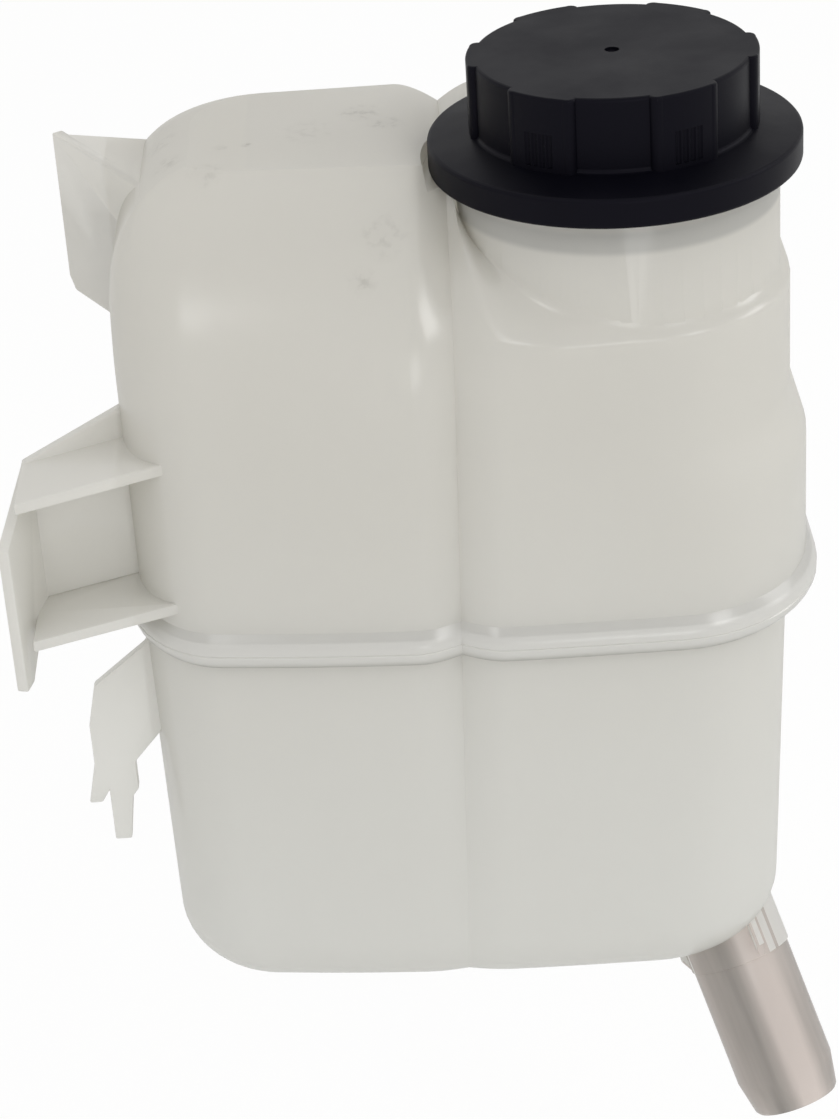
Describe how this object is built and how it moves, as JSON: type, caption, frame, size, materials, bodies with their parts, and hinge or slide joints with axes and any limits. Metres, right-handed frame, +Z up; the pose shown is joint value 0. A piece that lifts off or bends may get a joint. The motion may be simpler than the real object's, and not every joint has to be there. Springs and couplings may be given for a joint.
{
  "type": "coolant expansion tank",
  "caption": "Two-lobed moulded coolant expansion tank with a welded mid seam, screw cap with valve insert, slanted outlet spigot, side bracket and hose hook.",
  "frame": {"origin": "middle of the side bracket's pocket", "axes": "+X along the front face toward the outlet end, +Y from the front face toward the back, +Z up along the filler neck"},
  "size_m": [0.1748, 0.1058, 0.2522],
  "materials": {
    "tank": "moulded translucent polypropylene, lightly scuffed",
    "cap": "fine textured black polyamide",
    "insert": "moulded polyamide",
    "seal": "moulded rubber",
    "spring": "drawn wire",
    "brass": "turned"
  },
  "bodies": {
    "tank": {"upper_shell": "tank", "lower_shell": "tank"},
    "valve_insert": {"valve_housing": "insert", "housing_o_ring": "seal", "valve_retainer": "insert", "pressure_spring": "spring"},
    "cap": {"cap_shell": "cap"},
    "pressure_valve": {"pressure_plate": "insert", "pressure_seal": "seal", "vacuum_spring": "spring"},
    "vacuum_valve_body": {"vacuum_valve": "brass", "vacuum_clip": "spring"}
  },
  "joints": [
    {"name": "cap_lift", "type": "slide", "parent": "tank", "child": "valve_insert", "axis": [0, 0, 1], "range_m": [0, 0.01]},
    {"name": "cap_turn", "type": "hinge", "parent": "valve_insert", "child": "cap", "pos_m": [0.115, 0.017, 0.0715], "axis": [0, 0, 1], "range_deg": [0, 901]},
    {"name": "pressure_lift", "type": "slide", "parent": "valve_insert", "child": "pressure_valve", "axis": [0, 0, 1], "range_m": [0, 0.003], "stiffness_N_per_m": 2500, "springref_m": -0.008, "deforming": ["pressure_spring"]},
    {"name": "vacuum_drop", "type": "slide", "parent": "pressure_valve", "child": "vacuum_valve_body", "axis": [0, 0, -1], "range_m": [0, 0.0015], "stiffness_N_per_m": 200, "springref_m": -0.003, "deforming": ["vacuum_spring"]}
  ],
  "couplings": [
    {"joint": "cap_turn", "follows": "cap_lift", "rad_per_m": 1570.8}
  ]
}
